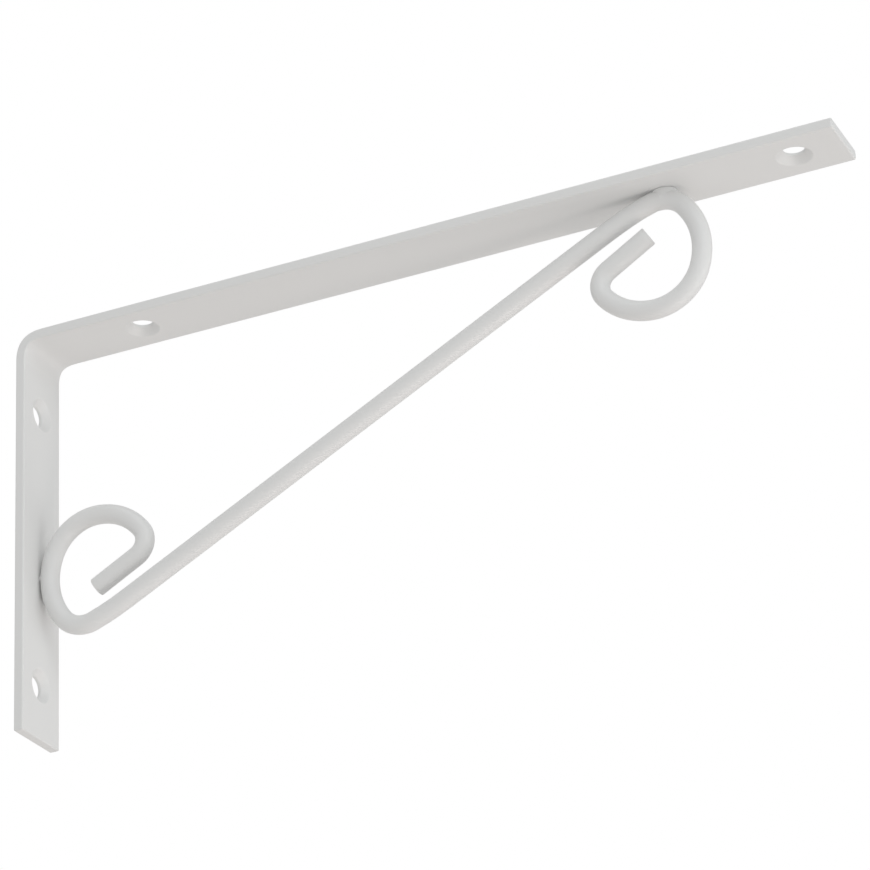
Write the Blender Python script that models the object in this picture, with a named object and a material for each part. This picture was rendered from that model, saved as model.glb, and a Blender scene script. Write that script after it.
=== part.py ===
"""A steel shelf bracket: a flat bar bent to a right angle, braced by a round rod with a scroll at each end.

The frame is in metres with +Z up. The wall is the plane X = 0, the shelf arm reaches out along +X, and the
bar's width lies along Y. The origin is on the wall face, half way between the wall arm's two screw holes.
"""

import bmesh
import bpy
from math import cos, pi, radians, sin
from mathutils import Matrix, Vector

# Flat bar
SHELF_ARM = 0.250
WALL_ARM = 0.1232
WIDTH = 0.020
THICKNESS = 0.003
INNER_BEND = 0.004
EDGE_ROUNDING = 0.0005
BEND_STEPS = 10

# Countersunk screw holes, measured from the corner where the two outer faces would meet
SHELF_HOLES = (0.0363, 0.2358)
WALL_HOLES = (0.0225, 0.1069)
HOLE_RADIUS = 0.003
SINK_RADIUS = 0.005
HOLE_SIDES = 32
CUTTER_REACH = 0.001

# Round rod: from the middle of its straight brace, each half ends in a scroll and a short straight tail
ROD_RADIUS = 0.00275
ROD_SIDES = 20
BRACE_SLOPE = radians(26.6)
BRACE_LENGTH = 0.1676
SCROLL_RADII = (0.080, 0.0087, 0.0208, 0.0143, 0.0183, 0.0054)
UPPER_TURNS = (11, 69, 56, 76, 48, 96)
LOWER_TURNS = (8, 71, 59, 71, 53, 97)
UPPER_TAIL = 0.0145
LOWER_TAIL = 0.0143
BEND_PITCH = radians(7.5)

# Where the rod touches an arm and is welded to it, it has a flat land that leaves this gap
WELD_GAP = 0.0003
SAME_PLACE = 0.000001

# Height of the shelf arm's top face over the origin
SHELF_LEVEL = sum(WALL_HOLES) / 2


def clear_scene():
    """Remove whatever the file opened with."""
    for obj in list(bpy.data.objects):
        bpy.data.objects.remove(obj, do_unlink=True)


def powder_coat(name, colour):
    """White powder coat over steel."""
    material = bpy.data.materials.new(name)
    material.use_nodes = True
    shader = material.node_tree.nodes["Principled BSDF"]
    shader.inputs["Base Color"].default_value = (*colour, 1.0)
    shader.inputs["Roughness"].default_value = 0.42
    shader.inputs["Metallic"].default_value = 0.0
    material.diffuse_color = (*colour, 1.0)
    return material


def add_object(name, data, material=None):
    """Link an object that holds the mesh or curve."""
    obj = bpy.data.objects.new(name, data)
    bpy.context.scene.collection.objects.link(obj)
    if material:
        data.materials.append(material)
    return obj


def mesh_of(name, bm):
    """Turn the working mesh into mesh data, round where it is round and sharp at its corners."""
    bmesh.ops.recalc_face_normals(bm, faces=bm.faces)
    mesh = bpy.data.meshes.new(name)
    bm.to_mesh(mesh)
    bm.free()
    mesh.shade_smooth()
    mesh.set_sharp_from_angle(angle=radians(35))
    return mesh


def arc(centre, radius, start, end, steps):
    """Points of an arc in the XZ plane, both ends with it."""
    angles = [start + (end - start) * i / steps for i in range(steps + 1)]
    return [Vector((centre.x + radius * cos(a), 0.0, centre.z + radius * sin(a))) for a in angles]


def bar_outline():
    """The bent bar seen from its side, with the corner of the outer faces at the local origin."""
    bend_centre = Vector((THICKNESS + INNER_BEND, 0.0, -THICKNESS - INNER_BEND))
    outer = arc(bend_centre, THICKNESS + INNER_BEND, pi, pi / 2, BEND_STEPS)
    inner = arc(bend_centre, INNER_BEND, pi / 2, pi, BEND_STEPS)
    foot = [Vector((THICKNESS, 0.0, -WALL_ARM)), Vector((0.0, 0.0, -WALL_ARM))]
    tip = [Vector((SHELF_ARM, 0.0, 0.0)), Vector((SHELF_ARM, 0.0, -THICKNESS))]
    return foot + outer + tip + inner


def bar_mesh():
    """The outline drawn out across the width, its corners rounded over."""
    bm = bmesh.new()
    side = bm.faces.new([bm.verts.new(p - Vector((0.0, WIDTH / 2, 0.0))) for p in bar_outline()])
    drawn = bmesh.ops.extrude_face_region(bm, geom=[side])
    moved = [v for v in drawn["geom"] if isinstance(v, bmesh.types.BMVert)]
    bmesh.ops.translate(bm, verts=moved, vec=(0.0, WIDTH, 0.0))
    bmesh.ops.recalc_face_normals(bm, faces=bm.faces)
    corners = [e for e in bm.edges if e.calc_face_angle() > radians(35)]
    bmesh.ops.bevel(bm, geom=corners, offset=EDGE_ROUNDING, segments=2, profile=0.5, affect="EDGES")
    return mesh_of("angle_bar", bm)


def sink_cutter_mesh():
    """A screw's clearance, +Z out of the inner face: a straight hole that opens in a right-angled cone."""
    cone_depth = SINK_RADIUS - HOLE_RADIUS
    profile = [
        Vector((0.0, 0.0, -THICKNESS - CUTTER_REACH)),
        Vector((HOLE_RADIUS, 0.0, -THICKNESS - CUTTER_REACH)),
        Vector((HOLE_RADIUS, 0.0, -cone_depth)),
        Vector((SINK_RADIUS + CUTTER_REACH, 0.0, CUTTER_REACH)),
        Vector((0.0, 0.0, CUTTER_REACH)),
    ]
    bm = bmesh.new()
    verts = [bm.verts.new(p) for p in profile]
    edges = [bm.edges.new(pair) for pair in zip(verts, verts[1:])]
    bmesh.ops.spin(
        bm, geom=verts + edges, axis=(0.0, 0.0, 1.0), cent=(0.0, 0.0, 0.0),
        angle=2 * pi, steps=HOLE_SIDES, use_merge=True,
    )
    bmesh.ops.remove_doubles(bm, verts=bm.verts, dist=0.00001)
    return mesh_of("screw_clearance", bm)


def cut_screw_holes(bar):
    """Two holes in each arm, on the centre line, sunk from the side that faces the rod."""
    mesh = sink_cutter_mesh()
    places = [("shelf", Vector((x, 0.0, -THICKNESS)), Matrix.Rotation(pi, 4, "X")) for x in SHELF_HOLES]
    places += [("wall", Vector((THICKNESS, 0.0, -z)), Matrix.Rotation(pi / 2, 4, "Y")) for z in WALL_HOLES]
    for number, (arm, place, turn) in enumerate(places, start=1):
        cutter = add_object(f"{arm}_hole_{number}", mesh)
        cutter.parent = bar
        cutter.matrix_local = Matrix.Translation(place) @ turn
        cutter.hide_render = True
        cutter.display_type = "WIRE"
        cut = bar.modifiers.new(cutter.name, "BOOLEAN")
        cut.operation = "DIFFERENCE"
        cut.solver = "EXACT"
        cut.object = cutter


def half_path(heading, turns, tail):
    """Half of the rod's centre line, from the brace's middle: straight, through the scroll's bends, then the tail."""
    point = Vector((0.0, 0.0, 0.0))
    points = [point]
    ahead = Vector((cos(heading), 0.0, sin(heading)))
    point = point + ahead * BRACE_LENGTH / 2
    points.append(point)
    for radius, degrees in zip(SCROLL_RADII, turns):
        turn = radians(degrees)
        centre = point + Vector((sin(heading), 0.0, -cos(heading))) * radius
        steps = max(2, round(turn / BEND_PITCH))
        points += arc(centre, radius, heading + pi / 2, heading + pi / 2 - turn, steps)[1:]
        point = points[-1]
        heading -= turn
    points.append(point + Vector((cos(heading), 0.0, sin(heading))) * tail)
    return points


def rod_path():
    """The whole centre line, set so that each scroll's round outline touches the arm that it is welded to."""
    lower = half_path(BRACE_SLOPE + pi, LOWER_TURNS, LOWER_TAIL)
    upper = half_path(BRACE_SLOPE, UPPER_TURNS, UPPER_TAIL)
    points = lower[:0:-1] + upper[1:]
    reach = THICKNESS + ROD_RADIUS
    to_wall_arm = reach - min(p.x for p in points)
    to_shelf_arm = -reach - max(p.z for p in points)
    return [p + Vector((to_wall_arm, 0.0, to_shelf_arm)) for p in points]


def rod_curve():
    """The rod as a round bar swept along its centre line, drawn flat in local XY and cut square at both tails."""
    curve = bpy.data.curves.new("rod_sweep", "CURVE")
    curve.dimensions = "3D"
    curve.twist_mode = "Z_UP"
    curve.bevel_depth = ROD_RADIUS
    curve.bevel_resolution = ROD_SIDES // 2 - 2
    curve.use_fill_caps = True
    points = rod_path()
    spline = curve.splines.new("POLY")
    spline.points.add(len(points) - 1)
    for slot, point in zip(spline.points, points):
        slot.co = (point.x, point.z, 0.0, 1.0)
    return curve


def rod_mesh():
    """The swept rod stood up in the XZ plane, with a flat land facing each arm where it is welded."""
    sweep = add_object("rod_sweep", rod_curve())
    bm = bmesh.new()
    bm.from_mesh(bpy.data.meshes.new_from_object(sweep))
    bpy.data.objects.remove(sweep)
    bmesh.ops.remove_doubles(bm, verts=bm.verts, dist=SAME_PLACE)
    bmesh.ops.rotate(bm, verts=bm.verts, cent=(0.0, 0.0, 0.0), matrix=Matrix.Rotation(pi / 2, 3, "X"))
    for arm_side in (Vector((-1.0, 0.0, 0.0)), Vector((0.0, 0.0, 1.0))):
        cut = bmesh.ops.bisect_plane(
            bm, geom=[*bm.verts, *bm.edges, *bm.faces], dist=SAME_PLACE,
            plane_co=-arm_side * (THICKNESS + WELD_GAP), plane_no=arm_side, clear_outer=True,
        )
        rim = [g for g in cut["geom_cut"] if isinstance(g, bmesh.types.BMEdge)]
        bmesh.ops.edgeloop_fill(bm, edges=rim)
    return mesh_of("scroll_rod", bm)


def build():
    """Both pieces hang from an empty at the bar's outer corner, level with the shelf arm's top face."""
    clear_scene()
    white = powder_coat("white_powder_coat", (0.80, 0.79, 0.77))
    corner = add_object("outer_corner", None)
    corner.location = (0.0, 0.0, SHELF_LEVEL)
    bar = add_object("angle_bar", bar_mesh(), white)
    cut_screw_holes(bar)
    rod = add_object("scroll_rod", rod_mesh(), white)
    for piece in (bar, rod):
        piece.parent = corner


build()
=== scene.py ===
"""A white powder-coated steel shelf bracket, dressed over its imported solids.

The flat bar is swept along its two arms and round its bend, rounded at its corners and countersunk for its
screws. The round rod is swept along its brace and both scrolls, and small welds hold it to the arms.
Everything is in metres in the frame of the solids: the wall is the plane X = 0, the shelf arm reaches out
along +X, and the bar's width lies along Y.
"""

import logging
from collections.abc import Callable, Sequence
from dataclasses import dataclass, field
from enum import Enum
from math import cos, exp, pi, radians, sin

import bmesh
import bpy
from mathutils import Matrix, Vector


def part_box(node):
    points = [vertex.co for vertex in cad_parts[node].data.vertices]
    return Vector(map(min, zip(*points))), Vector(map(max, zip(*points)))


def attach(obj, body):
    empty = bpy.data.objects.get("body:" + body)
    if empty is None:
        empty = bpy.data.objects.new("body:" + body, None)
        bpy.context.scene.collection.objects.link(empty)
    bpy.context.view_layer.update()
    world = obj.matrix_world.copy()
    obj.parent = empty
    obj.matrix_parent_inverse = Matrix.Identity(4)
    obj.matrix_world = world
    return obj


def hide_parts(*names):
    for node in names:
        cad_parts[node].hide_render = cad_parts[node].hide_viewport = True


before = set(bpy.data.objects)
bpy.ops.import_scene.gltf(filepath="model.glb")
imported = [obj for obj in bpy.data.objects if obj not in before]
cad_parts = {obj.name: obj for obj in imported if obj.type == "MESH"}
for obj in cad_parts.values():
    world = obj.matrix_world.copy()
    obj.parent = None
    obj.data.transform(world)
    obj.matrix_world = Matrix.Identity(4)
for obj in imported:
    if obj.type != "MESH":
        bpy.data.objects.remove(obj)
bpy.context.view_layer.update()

WHITE = "#FFFFFF"
MILLIMETRE = 0.001
SAME_PLACE = 0.001 * MILLIMETRE
CORNER_ANGLE = radians(30)
SQUARE_ON = 0.999999

# A mix node has sockets of the same name for each kind of value, so its colour ones go by their number
MIX_COLOUR_A, MIX_COLOUR_B, MIX_COLOUR_RESULT = 6, 7, 2

logging.basicConfig(level=logging.INFO, format="%(message)s")
log = logging.getLogger("shelf_bracket")


class Arm(Enum):
    """The bar's two arms, with the way that a screw's head faces in each."""

    SHELF = "shelf"
    WALL = "wall"

    @property
    def turn(self) -> Matrix:
        """The turn that brings a cutter's +Z out of this arm's inner face."""
        return Matrix.Rotation(pi, 4, "X") if self is Arm.SHELF else Matrix.Rotation(pi / 2, 4, "Y")


def linear(colour: str) -> tuple[float, float, float, float]:
    """Turn an sRGB hex colour into the linear values that a shader takes.

    Args:
        colour: six hex digits after a hash sign.

    Returns:
        Red, green, blue and a full alpha.
    """
    parts = [int(colour[i : i + 2], 16) / 255 for i in (1, 3, 5)]
    red, green, blue = (p / 12.92 if p <= 0.04045 else ((p + 0.055) / 1.055) ** 2.4 for p in parts)
    return red, green, blue, 1.0


def add_node(
    tree: bpy.types.NodeTree,
    kind: str,
    settings: dict[str, object] | None = None,
    inputs: dict[str | int, object] | None = None,
) -> bpy.types.Node:
    """Add one node, set it up and link what feeds it.

    Args:
        tree: the node tree that takes the node.
        kind: the node's type name.
        settings: the node's own options by name.
        inputs: for each input by name or number, a value, or the output socket that is linked to it.

    Returns:
        The new node.
    """
    node = tree.nodes.new(kind)
    for name, value in (settings or {}).items():
        setattr(node, name, value)
    for name, value in (inputs or {}).items():
        if isinstance(value, bpy.types.NodeSocket):
            tree.links.new(value, node.inputs[name])
        else:
            node.inputs[name].default_value = value
    return node


def per_metre(millimetres: float) -> float:
    """The texture scale at which one cell of a pattern has this real size."""
    return 1.0 / (millimetres * MILLIMETRE)


@dataclass(frozen=True)
class PowderCoat:
    """White polyester powder coat on mild steel, satin.

    The powder is sprayed on dry and melts in an oven, so the film has no brush marks. It levels into a faint
    orange peel, is a little thinner and glossier on sharp corners, and softens every edge and hollow.
    """

    name: str = "white_polyester_powder_coat"
    colour: str = "#E4E4E3"
    thin_colour: str = "#E3E3E2"
    clouding: float = 0.30
    roughness: float = 0.42
    roughness_spread: float = 0.05
    thin_gloss: float = 0.08
    ior: float = 1.50
    peel_mm: float = 1.6
    peel_height_mm: float = 0.005
    cloud_mm: float = 28.0
    patch_mm: float = 7.0

    def material(self) -> bpy.types.Material:
        """Build the coat's shader.

        Returns:
            A material with orange peel, a faint clouding of the white and a thinner film on the corners.
        """
        material = bpy.data.materials.new(self.name)
        material.use_nodes = True
        tree = material.node_tree
        tree.nodes.clear()
        place = add_node(tree, "ShaderNodeTexCoord").outputs["Object"]
        colour = self._colour(tree, place)
        roughness = self._roughness(tree, place)
        normal = self._orange_peel(tree, place)
        shader = add_node(
            tree, "ShaderNodeBsdfPrincipled",
            inputs={"Base Color": colour, "Roughness": roughness, "Normal": normal, "IOR": self.ior},
        )
        add_node(tree, "ShaderNodeOutputMaterial", inputs={"Surface": shader.outputs["BSDF"]})
        return material

    def _colour(self, tree: bpy.types.NodeTree, place: bpy.types.NodeSocket) -> bpy.types.NodeSocket:
        """Cloud the white very slightly and let it grey where the film runs thin over a corner.

        Args:
            tree: the material's node tree.
            place: object coordinates in metres.

        Returns:
            The colour's socket.
        """
        clouds = add_node(
            tree, "ShaderNodeTexNoise",
            inputs={"Vector": place, "Scale": per_metre(self.cloud_mm), "Detail": 3.0, "Roughness": 0.5},
        )
        thin = add_node(tree, "ShaderNodeAttribute", {"attribute_name": "thin_film"})
        amount = add_node(
            tree, "ShaderNodeMath", {"operation": "MULTIPLY_ADD", "use_clamp": True},
            {0: clouds.outputs["Fac"], 1: self.clouding, 2: thin.outputs["Fac"]},
        )
        mix = add_node(
            tree, "ShaderNodeMix", {"data_type": "RGBA"},
            {
                "Factor": amount.outputs["Value"],
                MIX_COLOUR_A: linear(self.colour),
                MIX_COLOUR_B: linear(self.thin_colour),
            },
        )
        return mix.outputs[MIX_COLOUR_RESULT]

    def _roughness(self, tree: bpy.types.NodeTree, place: bpy.types.NodeSocket) -> bpy.types.NodeSocket:
        """Vary the sheen a little from place to place, as an oven-cured film does.

        Args:
            tree: the material's node tree.
            place: object coordinates in metres.

        Returns:
            The roughness value's socket.
        """
        patches = add_node(
            tree, "ShaderNodeTexNoise",
            inputs={"Vector": place, "Scale": per_metre(self.patch_mm), "Detail": 4.0, "Roughness": 0.6},
        )
        spread = add_node(
            tree, "ShaderNodeMapRange",
            inputs={
                "Value": patches.outputs["Fac"],
                "To Min": self.roughness - self.roughness_spread,
                "To Max": self.roughness + self.roughness_spread,
            },
        )
        thin = add_node(tree, "ShaderNodeAttribute", {"attribute_name": "thin_film"})
        smoothed = add_node(
            tree, "ShaderNodeMath", {"operation": "MULTIPLY_ADD"},
            {0: thin.outputs["Fac"], 1: -self.thin_gloss, 2: spread.outputs["Result"]},
        )
        return smoothed.outputs["Value"]

    def _orange_peel(self, tree: bpy.types.NodeTree, place: bpy.types.NodeSocket) -> bpy.types.NodeSocket:
        """Raise the rounded ripple that molten powder settles into.

        Args:
            tree: the material's node tree.
            place: object coordinates in metres.

        Returns:
            The bumped normal's socket.
        """
        ripple = add_node(
            tree, "ShaderNodeTexNoise",
            inputs={"Vector": place, "Scale": per_metre(self.peel_mm), "Detail": 2.0, "Roughness": 0.4},
        )
        bump = add_node(
            tree, "ShaderNodeBump",
            inputs={
                "Height": ripple.outputs["Fac"],
                "Strength": 1.0,
                "Distance": self.peel_height_mm * MILLIMETRE,
            },
        )
        return bump.outputs["Normal"]


@dataclass(frozen=True)
class StudioPaper:
    """Matt white seamless paper, rolled out as the floor: it has a faint tooth and no gloss.

    It bounces light as paper does, and the eye sees it burnt out to full white, like the rest of the room.
    Its real tooth is finer than a millimetre and would not show, so it is drawn much coarser.
    """

    name: str = "seamless_paper"
    colour: str = "#F2F2F1"
    roughness: float = 0.95
    tooth_mm: float = 12.0
    tooth_height_mm: float = 0.1
    tooth_strength: float = 0.2

    def material(self) -> bpy.types.Material:
        """Build the paper's shader.

        Returns:
            A matt material with a very faint tooth, full white to the camera.
        """
        material = bpy.data.materials.new(self.name)
        material.use_nodes = True
        tree = material.node_tree
        tree.nodes.clear()
        place = add_node(tree, "ShaderNodeTexCoord").outputs["Object"]
        tooth = add_node(
            tree, "ShaderNodeTexNoise", inputs={"Vector": place, "Scale": per_metre(self.tooth_mm)}
        )
        bump = add_node(
            tree, "ShaderNodeBump",
            inputs={
                "Height": tooth.outputs["Fac"],
                "Strength": self.tooth_strength,
                "Distance": self.tooth_height_mm * MILLIMETRE,
            },
        )
        shader = add_node(
            tree, "ShaderNodeBsdfPrincipled",
            inputs={
                "Base Color": linear(self.colour),
                "Roughness": self.roughness,
                "Normal": bump.outputs["Normal"],
            },
        )
        seen = add_node(tree, "ShaderNodeLightPath").outputs["Is Camera Ray"]
        white = add_node(tree, "ShaderNodeEmission", inputs={"Color": linear(WHITE), "Strength": 1.0})
        both = add_node(
            tree, "ShaderNodeMixShader",
            inputs={"Fac": seen, 1: shader.outputs["BSDF"], 2: white.outputs["Emission"]},
        )
        add_node(tree, "ShaderNodeOutputMaterial", inputs={"Surface": both.outputs["Shader"]})
        return material


def link_mesh(name: str, bm: bmesh.types.BMesh) -> bpy.types.Object:
    """Close a working mesh up and put it in the scene.

    Args:
        name: the new object's name.
        bm: the working mesh, which is freed.

    Returns:
        The object.
    """
    bmesh.ops.remove_doubles(bm, verts=bm.verts, dist=SAME_PLACE)
    bmesh.ops.recalc_face_normals(bm, faces=bm.faces)
    mesh = bpy.data.meshes.new(name)
    bm.to_mesh(mesh)
    bm.free()
    piece = bpy.data.objects.new(name, mesh)
    bpy.context.scene.collection.objects.link(piece)
    return piece


def shade(bm: bmesh.types.BMesh, flats: Callable[[bmesh.types.BMFace], bool]) -> None:
    """Shade the flats flat, and every rounded face between them smooth.

    Args:
        bm: the working mesh.
        flats: tells a flat from a rounded face.
    """
    bm.normal_update()
    for face in bm.faces:
        face.smooth = not flats(face)


def squared_up(face: bmesh.types.BMFace) -> bool:
    """Whether a face is square to an axis, as all the bar's flats are."""
    return max(abs(v) for v in face.normal) > SQUARE_ON


def corner_edges(bm: bmesh.types.BMesh) -> list[bmesh.types.BMEdge]:
    """The edges where two faces meet at a real corner."""
    return [e for e in bm.edges if len(e.link_faces) == 2 and e.calc_face_angle() > CORNER_ANGLE]


def round_over(
    bm: bmesh.types.BMesh, edges: Sequence[bmesh.types.BMEdge], radius: float, segments: int
) -> None:
    """Round some edges off.

    Args:
        bm: the working mesh.
        edges: the edges to round.
        radius: the rounding's size.
        segments: how many facets it gets.
    """
    bmesh.ops.bevel(
        bm, geom=list(edges), offset=radius, offset_type="OFFSET", segments=segments,
        profile=0.5, affect="EDGES", material=-1, clamp_overlap=True,
    )


def finish_piece(piece: bpy.types.Object, material: bpy.types.Material) -> None:
    """Give a piece its finish and let it ride with the bracket.

    Args:
        piece: the finished object, in place.
        material: its finish.
    """
    piece.data.materials.append(material)
    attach(piece, "root")


@dataclass
class AngleBar:
    """The flat bar: a wall arm, a round bend and a shelf arm, with two countersunk holes in each arm.

    The bend is tightest in its middle: its radii, on the inside, each go with a turn in degrees. A hole's
    place is its distance along the arm from the corner where the bar's two outer faces would meet.
    """

    node: str = "angle_bar"
    thickness: float = 0.003
    bend_radii: tuple[float, ...] = (0.012, 0.007, 0.0032, 0.007, 0.012)
    bend_turns: tuple[int, ...] = (8, 12, 50, 12, 8)
    bend_step: float = radians(3)
    edge_rounding: float = 0.0005
    edge_facets: int = 5
    shelf_holes: tuple[float, float] = (0.0363, 0.2358)
    wall_holes: tuple[float, float] = (0.0225, 0.1069)
    hole_radius: float = 0.003
    sink_radius: float = 0.005
    rim_rounding: float = 0.00025
    rim_facets: int = 4
    punched_rounding: float = 0.00045
    hole_sides: int = 72
    cutter_reach: float = 0.001
    thin_from: float = 0.2
    thin_gain: float = 2.0
    low: Vector = field(init=False)
    high: Vector = field(init=False)

    def __post_init__(self) -> None:
        """Take the overall sizes from the solid."""
        self.low, self.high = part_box(self.node)

    @property
    def width(self) -> float:
        """The stock's width."""
        return self.high.y - self.low.y

    def swept(self) -> bmesh.types.BMesh:
        """Carry the stock's section up the wall arm, round the bend and out along the shelf arm.

        The bend starts and ends gently, as in bar that is pressed round a tool. The section is left behind
        as an inner face at each joint, and those faces are taken out again.

        Returns:
            The bent bar, its corners rounded.
        """
        bm = bmesh.new()
        reach = self._bend_reach()
        section = Matrix.Translation((self.thickness / 2, 0.0, self.low.z)) @ Matrix.Diagonal(
            (self.thickness, self.width, 1.0, 1.0)
        )
        bmesh.ops.create_grid(bm, x_segments=1, y_segments=1, size=0.5, matrix=section)
        end = self._extruded(bm, list(bm.faces), Vector((0.0, 0.0, self.high.z - reach - self.low.z)))
        outside = Vector((0.0, 0.0, self.high.z - reach))
        turned = 0.0
        for inner, degrees in zip(self.bend_radii, self.bend_turns):
            radius, turn = inner + self.thickness, radians(degrees)
            centre = outside + Vector((cos(turned), 0.0, -sin(turned))) * radius
            bent = bmesh.ops.spin(
                bm, geom=end, cent=centre, axis=(0.0, 1.0, 0.0),
                angle=turn, steps=max(2, round(turn / self.bend_step)),
            )
            end = [g for g in bent["geom_last"] if isinstance(g, bmesh.types.BMFace)]
            turned += turn
            outside = centre - Vector((cos(turned), 0.0, -sin(turned))) * radius
        self._extruded(bm, end, Vector((self.high.x - reach, 0.0, 0.0)))
        inside = [f for f in bm.faces if all(len(e.link_faces) > 2 for e in f.edges)]
        bmesh.ops.delete(bm, geom=inside, context="FACES_ONLY")
        bmesh.ops.recalc_face_normals(bm, faces=bm.faces)
        round_over(bm, corner_edges(bm), self.edge_rounding, self.edge_facets)
        return bm

    def _bend_reach(self) -> float:
        """Add up how far the bend's ends lie from the corner where the outer faces would meet.

        Returns:
            The distance, the same along both arms.
        """
        reach = turned = 0.0
        for inner, degrees in zip(self.bend_radii, self.bend_turns):
            further = turned + radians(degrees)
            reach += (inner + self.thickness) * (sin(further) - sin(turned))
            turned = further
        return reach

    @staticmethod
    def _extruded(
        bm: bmesh.types.BMesh, faces: list[bmesh.types.BMFace], step: Vector
    ) -> list[bmesh.types.BMFace]:
        """Draw an end face out straight.

        Args:
            bm: the working mesh.
            faces: the end face.
            step: how far and which way it goes.

        Returns:
            The new end face.
        """
        drawn = bmesh.ops.extrude_face_region(bm, geom=faces)["geom"]
        bmesh.ops.translate(bm, verts=[g for g in drawn if isinstance(g, bmesh.types.BMVert)], vec=step)
        return [g for g in drawn if isinstance(g, bmesh.types.BMFace)]

    def screw_clearance(self, arm: Arm, along: float) -> bpy.types.Object:
        """Turn the shape that a countersunk screw needs, at one place on an arm.

        Args:
            arm: the arm that it goes through.
            along: the hole's distance from the bar's outer corner.

        Returns:
            The cutter, a straight hole that opens in a right-angled cone.
        """
        cone_depth = self.sink_radius - self.hole_radius
        profile = [
            (0.0, -self.thickness - self.cutter_reach),
            (self.hole_radius, -self.thickness - self.cutter_reach),
            (self.hole_radius, -cone_depth),
            (self.sink_radius + self.cutter_reach, self.cutter_reach),
            (0.0, self.cutter_reach),
        ]
        bm = bmesh.new()
        verts = [bm.verts.new((radius, 0.0, height)) for radius, height in profile]
        edges = [bm.edges.new(pair) for pair in zip(verts, verts[1:])]
        bmesh.ops.spin(
            bm, geom=verts + edges, cent=(0.0, 0.0, 0.0), axis=(0.0, 0.0, 1.0),
            angle=2 * pi, steps=self.hole_sides, use_merge=True,
        )
        bmesh.ops.remove_doubles(bm, verts=bm.verts, dist=SAME_PLACE)
        if arm is Arm.SHELF:
            place = Vector((along, 0.0, self.high.z - self.thickness))
        else:
            place = Vector((self.thickness, 0.0, self.high.z - along))
        bm.transform(Matrix.Translation(place) @ arm.turn)
        return link_mesh(f"{arm.value}_screw_clearance", bm)

    def drilled(self, bar: bpy.types.Object) -> None:
        """Cut all four holes and soften their rims.

        Args:
            bar: the swept bar.
        """
        cutters = [self.screw_clearance(Arm.SHELF, along) for along in self.shelf_holes]
        cutters += [self.screw_clearance(Arm.WALL, along) for along in self.wall_holes]
        for cutter in cutters:
            cut = bar.modifiers.new(cutter.name, "BOOLEAN")
            cut.operation = "DIFFERENCE"
            cut.solver = "EXACT"
            cut.object = cutter
        graph = bpy.context.evaluated_depsgraph_get()
        bm = bmesh.new()
        bm.from_object(bar, graph)
        bar.modifiers.clear()
        for cutter in cutters:
            bpy.data.objects.remove(cutter)
        bmesh.ops.remove_doubles(bm, verts=bm.verts, dist=SAME_PLACE)
        punched = [e for e in corner_edges(bm) if self._on_outer_face(e)]
        round_over(bm, punched, self.punched_rounding, self.edge_facets)
        round_over(bm, corner_edges(bm), self.rim_rounding, self.rim_facets)
        self._mark_thin_film(bm)
        shade(bm, squared_up)
        bm.to_mesh(bar.data)
        bm.free()

    def _on_outer_face(self, edge: bmesh.types.BMEdge) -> bool:
        """Tell whether an edge lies in the wall arm's back or the shelf arm's top, where the punch went in.

        Args:
            edge: one of the bar's edges.

        Returns:
            True if both its ends lie in one of those faces.
        """
        close = 0.01 * MILLIMETRE
        return all(v.co.x < self.low.x + close or v.co.z > self.high.z - close for v in edge.verts)

    def _mark_thin_film(self, bm: bmesh.types.BMesh) -> None:
        """Note where the film is stretched thin, over the corners that turn towards the bar's sides.

        It gets thinner as a corner's normal leans away from both of its faces.

        Args:
            bm: the working mesh, which gets a value at each point.
        """
        bm.normal_update()
        thin = bm.verts.layers.float.new("thin_film")
        for vert in bm.verts:
            across = abs(vert.normal.y)
            along = Vector((vert.normal.x, vert.normal.z)).length
            vert[thin] = min(1.0, max(0.0, min(across, along) - self.thin_from) * self.thin_gain)

    def build(self, coat: bpy.types.Material) -> bpy.types.Object:
        """Make the bar and stand it in for its solid.

        Args:
            coat: the powder coat.

        Returns:
            The finished bar.
        """
        bar = link_mesh("coated_angle_bar", self.swept())
        self.drilled(bar)
        finish_piece(bar, coat)
        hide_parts(self.node)
        return bar


@dataclass
class RodSweep:
    """A round section on its way along the rod's centre line, in the XZ plane."""

    bm: bmesh.types.BMesh
    ring: list[bmesh.types.BMEdge]
    point: Vector
    heading: float

    @property
    def ahead(self) -> Vector:
        """The way that the rod runs here."""
        return Vector((cos(self.heading), 0.0, sin(self.heading)))

    def straight(self, length: float, step: float) -> None:
        """Draw the rod out straight, in short lengths so that no facet gets long and thin.

        Args:
            length: how far.
            step: about how far apart two sections lie.
        """
        count = max(1, round(length / step))
        onward = self.ahead * (length / count)
        for _ in range(count):
            drawn = bmesh.ops.extrude_edge_only(self.bm, edges=self.ring)["geom"]
            verts = [g for g in drawn if isinstance(g, bmesh.types.BMVert)]
            bmesh.ops.translate(self.bm, verts=verts, vec=onward)
            self.ring = [g for g in drawn if isinstance(g, bmesh.types.BMEdge)]
            self.point = self.point + onward

    def bend(self, radius: float, turn: float, step: float) -> None:
        """Bend the rod clockwise, seen from the near side.

        Args:
            radius: the bend's radius at the centre line.
            turn: the angle that it bends through.
            step: the angle between two sections.
        """
        centre = self.point + Vector((sin(self.heading), 0.0, -cos(self.heading))) * radius
        bent = bmesh.ops.spin(
            self.bm, geom=self.ring, cent=centre, axis=(0.0, 1.0, 0.0),
            angle=turn, steps=max(2, round(turn / step)),
        )
        self.ring = [g for g in bent["geom_last"] if isinstance(g, bmesh.types.BMEdge)]
        self.heading -= turn
        self.point = centre + Vector((-sin(self.heading), 0.0, cos(self.heading))) * radius

    def cut(self) -> bmesh.types.BMFace:
        """Cut the rod off square here.

        Returns:
            The cut's flat face.
        """
        return bmesh.ops.edgeloop_fill(self.bm, edges=self.ring)["faces"][0]


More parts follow.
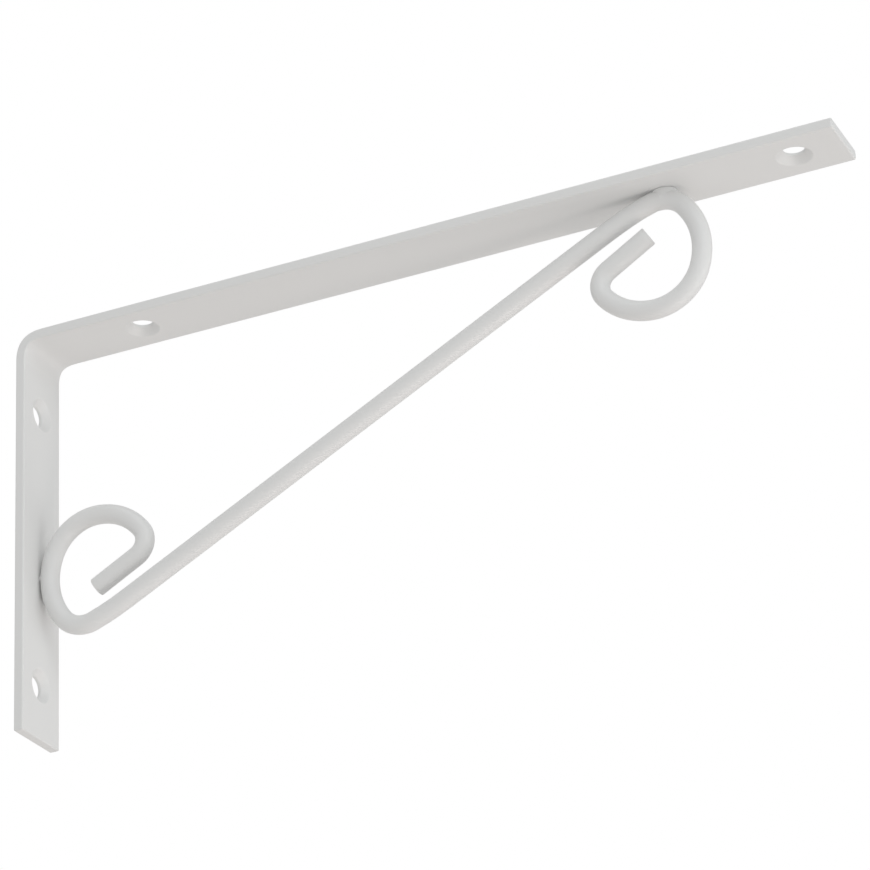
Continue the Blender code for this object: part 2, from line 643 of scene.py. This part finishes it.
@dataclass
class ScrollRod:
    """The round rod: a straight brace with a scroll and a short straight tail at each end.

    Its round outline touches both arms, where its solid has a small flat land instead. Each bend radius, at
    the rod's centre line, goes with a turn in degrees, and the two scrolls share their radii.
    """

    node: str = "scroll_rod"
    sides: int = 56
    slope: float = radians(26.6)
    brace: float = 0.1676
    radii: tuple[float, ...] = (0.080, 0.0087, 0.0208, 0.0143, 0.0183, 0.0054)
    upper_turns: tuple[int, ...] = (11, 69, 56, 76, 48, 96)
    lower_turns: tuple[int, ...] = (8, 71, 59, 71, 53, 97)
    upper_tail: float = 0.0145
    lower_tail: float = 0.0143
    bend_step: float = radians(3)
    straight_step: float = 0.003
    cut_rounding: float = 0.00030
    cut_facets: int = 4
    sunk: float = 0.00038
    sunk_reach: float = 0.0075
    sunk_aside: float = -0.0045
    sunk_depth: float = 2.0
    radius: float = field(init=False)

    def __post_init__(self) -> None:
        """Take the rod's thickness from the solid."""
        low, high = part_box(self.node)
        self.radius = (high.y - low.y) / 2

    def _half(
        self,
        bm: bmesh.types.BMesh,
        ring: list[bmesh.types.BMEdge],
        heading: float,
        turns: Sequence[int],
        tail: float,
    ) -> bmesh.types.BMFace:
        """Sweep one half of the rod out from the brace's middle.

        Args:
            bm: the working mesh.
            ring: the section at the brace's middle.
            heading: the way that this half sets off.
            turns: the scroll's bends in degrees, one for each radius.
            tail: the straight end's length.

        Returns:
            The square cut at the tail's end.
        """
        sweep = RodSweep(bm, ring, Vector((0.0, 0.0, 0.0)), heading)
        sweep.straight(self.brace / 2, self.straight_step)
        for radius, degrees in zip(self.radii, turns):
            sweep.bend(radius, radians(degrees), self.bend_step)
        sweep.straight(tail, self.straight_step)
        return sweep.cut()

    def swept(self) -> bmesh.types.BMesh:
        """Sweep both halves and round over the rims of the cuts.

        Returns:
            The whole rod, with the brace's middle at the origin.
        """
        bm = bmesh.new()
        facing = Matrix.Rotation(pi / 2 - self.slope, 4, "Y")
        bmesh.ops.create_circle(bm, cap_ends=False, segments=self.sides, radius=self.radius, matrix=facing)
        ring = list(bm.edges)
        cuts = [
            self._half(bm, ring, self.slope, self.upper_turns, self.upper_tail),
            self._half(bm, ring, self.slope + pi, self.lower_turns, self.lower_tail),
        ]
        bmesh.ops.recalc_face_normals(bm, faces=bm.faces)
        round_over(bm, [e for face in cuts for e in face.edges], self.cut_rounding, self.cut_facets)
        shade(bm, lambda face: len(face.verts) > 4)
        return bm

    def _sink(self, bm: bmesh.types.BMesh, contact: Vector) -> None:
        """Let the rod sink a little into the shelf arm, as it does when it is welded hot under pressure.

        The rod itself moves whole. What lies below it, such as the tail, moves less and less.

        Args:
            bm: the rod, in place.
            contact: the point where it touches the shelf arm.
        """
        for vert in bm.verts:
            off = (vert.co.x - contact.x - self.sunk_aside) / self.sunk_reach
            depth = (contact.z - vert.co.z) / (2 * self.radius)
            vert.co.z += self.sunk * exp(-off * off) * min(1.0, max(0.0, self.sunk_depth - depth))

    def build(self, coat: bpy.types.Material, bar: AngleBar) -> tuple[bpy.types.Object, Vector, Vector]:
        """Make the rod and set it against both arms.

        Args:
            coat: the powder coat.
            bar: the bar that it is welded to.

        Returns:
            The finished rod, and the points where it touches the wall arm and the shelf arm.
        """
        bm = self.swept()
        leftmost = min(bm.verts, key=lambda v: v.co.x)
        topmost = max(bm.verts, key=lambda v: v.co.z)
        step = Vector((bar.thickness - leftmost.co.x, 0.0, bar.high.z - bar.thickness - topmost.co.z))
        bmesh.ops.translate(bm, verts=bm.verts, vec=step)
        on_wall_arm = Vector((bar.thickness, 0.0, leftmost.co.z))
        on_shelf_arm = Vector((topmost.co.x, 0.0, bar.high.z - bar.thickness))
        self._sink(bm, on_shelf_arm)
        rod = link_mesh("coated_scroll_rod", bm)
        finish_piece(rod, coat)
        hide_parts(self.node)
        return rod, on_wall_arm, on_shelf_arm


@dataclass
class Weld:
    """The metal, under its coat, that fills the wedge between the rod and an arm.

    It is pinched in where it meets the arm, swells out from there and runs into the rod's flanks. The swell
    gives the share of the way out from the foot to the full width, and the crown the share of that width,
    each with its height over the arm in rod radii. The drift shifts the weld along the arm.
    """

    arm: Arm
    contact: Vector
    rod: ScrollRod
    half_length: float
    half_width: float
    drift: float
    pinch: float
    sides: int = 64
    rooted: float = 0.00008
    swell: tuple[tuple[float, float], ...] = ((0.0, 0.03), (0.40, 0.07), (0.80, 0.12), (1.0, 0.20))
    crown: tuple[tuple[float, float], ...] = (
        (1.0, 0.60), (1.0, 0.85), (0.985, 1.05), (0.96, 1.20), (0.50, 1.28), (0.0, 1.30),
    )

    def profile(self) -> list[tuple[float, float]]:
        """Draw the outline from the root's middle, out over the swell and in to the crown's middle.

        Returns:
            Radius and height of each point.
        """
        foot = self.pinch * self.half_width
        out = self.half_width - foot
        points = [(0.0, -self.rooted), (foot, -self.rooted)]
        points += [(foot + out * share, height * self.rod.radius) for share, height in self.swell]
        points += [(self.half_width * share, height * self.rod.radius) for share, height in self.crown]
        return points

    def build(self, coat: bpy.types.Material) -> bpy.types.Object:
        """Spin the weld's outline round and stretch it along the arm.

        Args:
            coat: the powder coat.

        Returns:
            The finished weld.
        """
        bm = bmesh.new()
        verts = [bm.verts.new((radius, 0.0, height)) for radius, height in self.profile()]
        edges = [bm.edges.new(pair) for pair in zip(verts, verts[1:])]
        bmesh.ops.spin(
            bm, geom=verts + edges, cent=(0.0, 0.0, 0.0), axis=(0.0, 0.0, 1.0),
            angle=2 * pi, steps=self.sides, use_merge=True,
        )
        stretch = Matrix.Diagonal((self.half_length / self.half_width, 1.0, 1.0, 1.0))
        aside = Matrix.Translation((self.drift, 0.0, 0.0))
        bm.transform(Matrix.Translation(self.contact) @ self.arm.turn @ aside @ stretch)
        shade(bm, lambda face: False)
        weld = link_mesh(f"{self.arm.value}_arm_weld", bm)
        finish_piece(weld, coat)
        return weld


@dataclass(frozen=True)
class Softbox:
    """A square softbox that faces the bracket's middle.

    Its bearing is in degrees from +X round to +Y, and its rise in degrees above the level.
    """

    name: str
    bearing: float
    rise: float
    watts: float
    tint: str = WHITE
    side: float = 0.8
    distance: float = 1.2

    def hang(self, middle: Vector) -> bpy.types.Object:
        """Hang the softbox.

        Args:
            middle: the point that it faces.

        Returns:
            The light, which lights the bracket but isn't seen itself.
        """
        data = bpy.data.lights.new(self.name, "AREA")
        data.shape = "SQUARE"
        data.size = self.side
        data.energy = self.watts
        data.color = linear(self.tint)[:3]
        light = bpy.data.objects.new(self.name, data)
        bpy.context.scene.collection.objects.link(light)
        bearing, rise = radians(self.bearing), radians(self.rise)
        way = Vector((cos(rise) * cos(bearing), cos(rise) * sin(bearing), sin(rise)))
        turn = (-way).to_track_quat("-Z", "Y").to_matrix().to_4x4()
        light.matrix_world = Matrix.Translation(middle + way * self.distance) @ turn
        light.visible_camera = False
        return light


@dataclass
class Studio:
    """A white room with soft light from all round, and the camera below and in front of the bracket."""

    camera_place: Vector = Vector((0.4831, -0.8162, -0.4300))
    camera_aim: Vector = Vector((0.1267, -0.0004, 0.0051))
    camera_roll: float = radians(-2.86)
    lens_mm: float = 150.5
    floor_level: float = -1.45
    floor_side: float = 8.0
    floor_cells: int = 8
    ambient: float = 0.565
    middle: Vector = Vector((0.12, 0.0, 0.02))
    softboxes: tuple[Softbox, ...] = (
        Softbox("right_softbox", 0.0, -15.0, 2.60, tint="#F7FDFF"),
        Softbox("front_right_softbox", -45.0, 25.0, 2.28, tint="#F7FDFF"),
        Softbox("front_left_softbox", 225.0, -15.0, 1.15),
        Softbox("back_left_softbox", 135.0, -15.0, 0.55, tint="#FFF0E8"),
        Softbox("top_softbox", -90.0, 65.0, 1.75),
        Softbox("low_right_softbox", 0.0, -55.0, 1.20, tint="#FFF3EE"),
        Softbox("low_back_softbox", 45.0, -55.0, 1.20, tint="#FFF2ED"),
        Softbox("low_front_spot", -25.0, -58.0, 1.22, tint="#FFF3EE", side=0.35),
    )

    def camera(self) -> bpy.types.Object:
        """Place the camera.

        Returns:
            The camera, which the scene then uses.
        """
        data = bpy.data.cameras.new("camera")
        data.lens = self.lens_mm
        camera = bpy.data.objects.new("camera", data)
        bpy.context.scene.collection.objects.link(camera)
        turn = (self.camera_aim - self.camera_place).to_track_quat("-Z", "Y").to_matrix().to_4x4()
        roll = Matrix.Rotation(self.camera_roll, 4, "Z")
        camera.matrix_world = Matrix.Translation(self.camera_place) @ turn @ roll
        bpy.context.scene.camera = camera
        return camera

    def floor(self, finish: StudioPaper) -> bpy.types.Object:
        """Roll out the floor well below the bracket, which hangs in the air as it does on its wall.

        Args:
            finish: the paper.

        Returns:
            The floor.
        """
        bm = bmesh.new()
        bmesh.ops.create_grid(
            bm, x_segments=self.floor_cells, y_segments=self.floor_cells, size=self.floor_side / 2
        )
        bmesh.ops.translate(bm, verts=bm.verts, vec=(0.0, 0.0, self.floor_level))
        floor = link_mesh("studio_floor", bm)
        floor.data.materials.append(finish.material())
        return floor

    def surround(self) -> None:
        """Light the room white: full white to the eye, and softer on the bracket."""
        world = bpy.data.worlds.new("white_surround")
        bpy.context.scene.world = world
        world.use_nodes = True
        tree = world.node_tree
        tree.nodes.clear()
        seen = add_node(tree, "ShaderNodeLightPath").outputs["Is Camera Ray"]
        lit, white = (
            add_node(tree, "ShaderNodeBackground", inputs={"Color": linear(WHITE), "Strength": strength})
            for strength in (self.ambient, 1.0)
        )
        both = add_node(
            tree, "ShaderNodeMixShader",
            inputs={"Fac": seen, 1: lit.outputs["Background"], 2: white.outputs["Background"]},
        )
        add_node(tree, "ShaderNodeOutputWorld", inputs={"Surface": both.outputs["Shader"]})

    def build(self) -> None:
        """Set up the camera, the surround, the floor and the lights."""
        bpy.context.scene.view_settings.view_transform = "Standard"
        self.camera()
        self.surround()
        for softbox in self.softboxes:
            softbox.hang(self.middle)
        self.floor(StudioPaper())


def main() -> None:
    """Build the bracket piece by piece, then its studio."""
    coat = PowderCoat().material()
    bar = AngleBar()
    bar_piece = bar.build(coat)
    log.info("%s: %d faces", bar_piece.name, len(bar_piece.data.polygons))
    rod = ScrollRod()
    rod_piece, on_wall_arm, on_shelf_arm = rod.build(coat, bar)
    log.info("%s: %d faces", rod_piece.name, len(rod_piece.data.polygons))
    for weld in (
        Weld(Arm.WALL, on_wall_arm, rod, half_length=0.0012, half_width=0.00165, drift=-0.0003, pinch=0.90),
        Weld(Arm.SHELF, on_shelf_arm, rod, half_length=0.0037, half_width=0.00282, drift=0.0017, pinch=0.89),
    ):
        weld_piece = weld.build(coat)
        log.info("%s: at %s", weld_piece.name, weld.contact)
    Studio().build()


if __name__ == "__main__":
    main()
